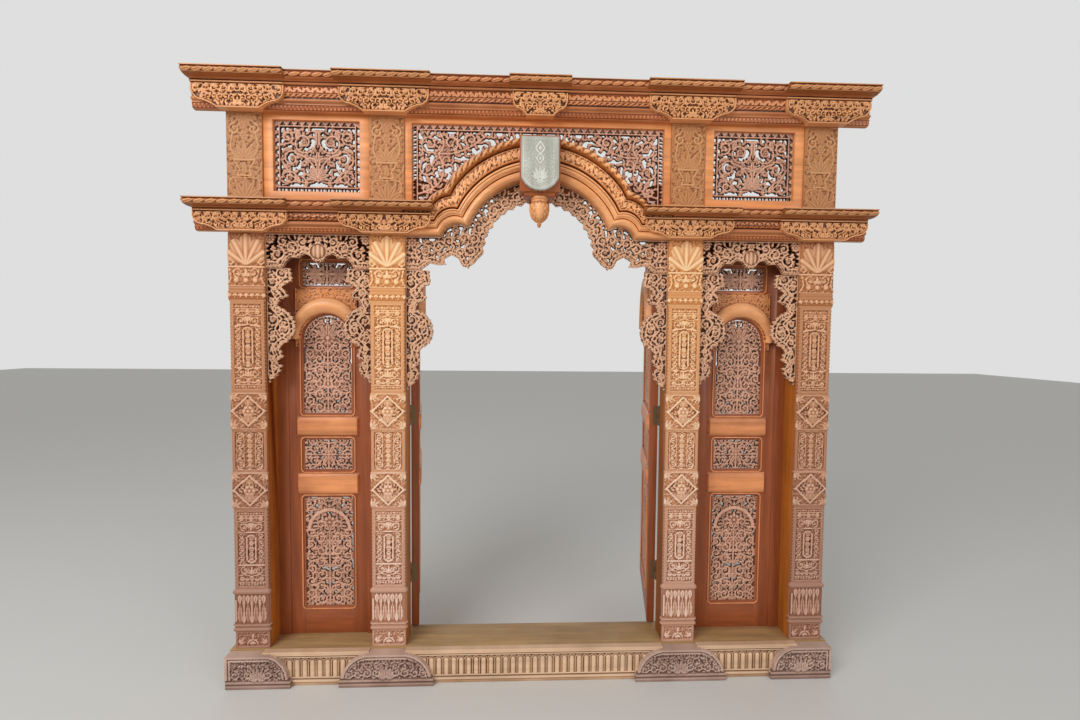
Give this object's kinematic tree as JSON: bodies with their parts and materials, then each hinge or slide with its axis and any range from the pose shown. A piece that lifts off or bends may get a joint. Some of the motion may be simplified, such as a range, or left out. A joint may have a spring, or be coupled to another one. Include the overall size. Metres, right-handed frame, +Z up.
{
  "type": "carved temple door",
  "caption": "Carved teak temple door with its frame: open double leaves under a fretted arch, fixed side panels, carved posts, bracketed cornices.",
  "frame": {"origin": "underside of the sill, on the centre line, below the posts' front faces", "axes": "+X to the right as seen from the front, +Y to the back (the side the leaves open to), +Z up"},
  "size_m": [2.942, 0.8649, 2.648],
  "materials": {
    "carved_teak": "hand-carved teak, oiled, dark in the hollows",
    "moulded_teak": "red-brown oiled teak, softly glossy",
    "leaf_teak": "planed red-brown teak, satin",
    "pierced_teak": "pierced and carved teak, dusty brown",
    "sill_teak": "worn pale teak threshold",
    "plaque_wood": "carved wood, limewashed grey-green",
    "hinge_steel": "dull zinc-plated steel"
  },
  "bodies": {
    "facade": {"arch_frame": "moulded_teak", "bay_leaf_left_frame": "leaf_teak", "bay_leaf_left_hood": "carved_teak", "bay_leaf_left_openwork": "pierced_teak", "bay_leaf_right_frame": "leaf_teak", "bay_leaf_right_hood": "carved_teak", "bay_leaf_right_openwork": "pierced_teak", "door_head": "leaf_teak", "door_hinge_left_pins": "hinge_steel", "door_hinge_right_pins": "hinge_steel", "door_post_left_hinge_plates": "hinge_steel", "door_post_right_hinge_plates": "hinge_steel", "fret_crown_bay_left": "carved_teak", "fret_crown_bay_right": "carved_teak", "fret_crown_doorway": "carved_teak", "fret_leg_bay_inner_left": "carved_teak", "fret_leg_bay_inner_right": "carved_teak", "fret_leg_bay_outer_left": "carved_teak", "fret_leg_bay_outer_right": "carved_teak", "fret_leg_doorway_left": "carved_teak", "fret_leg_doorway_right": "carved_teak", "head_beam": "leaf_teak", "keystone_block": "moulded_teak", "keystone_plaque": "plaque_wood", "lotus_pendant": "carved_teak", "mid_bracket_left_inner": "carved_teak", "mid_bracket_left_outer": "carved_teak", "mid_bracket_right_inner": "carved_teak", "mid_bracket_right_outer": "carved_teak", "mid_cornice_left": "moulded_teak", "mid_cornice_right": "moulded_teak", "plinth_left_inner": "carved_teak", "plinth_left_outer": "carved_teak", "plinth_right_inner": "carved_teak", "plinth_right_outer": "carved_teak", "post_left_inner": "carved_teak", "post_left_outer": "carved_teak", "post_right_inner": "carved_teak", "post_right_outer": "carved_teak", "sill": "sill_teak", "top_bracket_centre": "carved_teak", "top_bracket_left_inner": "carved_teak", "top_bracket_left_outer": "carved_teak", "top_bracket_right_inner": "carved_teak", "top_bracket_right_outer": "carved_teak", "top_cornice": "moulded_teak", "upper_frame_centre": "moulded_teak", "upper_frame_left": "moulded_teak", "upper_frame_right": "moulded_teak", "upper_openwork_centre": "carved_teak", "upper_openwork_left": "carved_teak", "upper_openwork_right": "carved_teak"},
    "left_leaf": {"door_leaf_left_frame": "leaf_teak", "door_leaf_left_hinge_plates": "hinge_steel", "door_leaf_left_hood": "carved_teak", "door_leaf_left_openwork": "pierced_teak"},
    "right_leaf": {"door_leaf_right_frame": "leaf_teak", "door_leaf_right_hinge_plates": "hinge_steel", "door_leaf_right_hood": "carved_teak", "door_leaf_right_openwork": "pierced_teak"}
  },
  "joints": [
    {"name": "left_leaf_swing", "type": "hinge", "parent": "facade", "child": "left_leaf", "pos_m": [-0.59625, 0.1575, 1.18], "axis": [0, 0, 1], "range_deg": [-100, 70]},
    {"name": "right_leaf_swing", "type": "hinge", "parent": "facade", "child": "right_leaf", "pos_m": [0.59625, 0.1575, 1.18], "axis": [0, 0, -1], "range_deg": [-100, 70]}
  ]
}
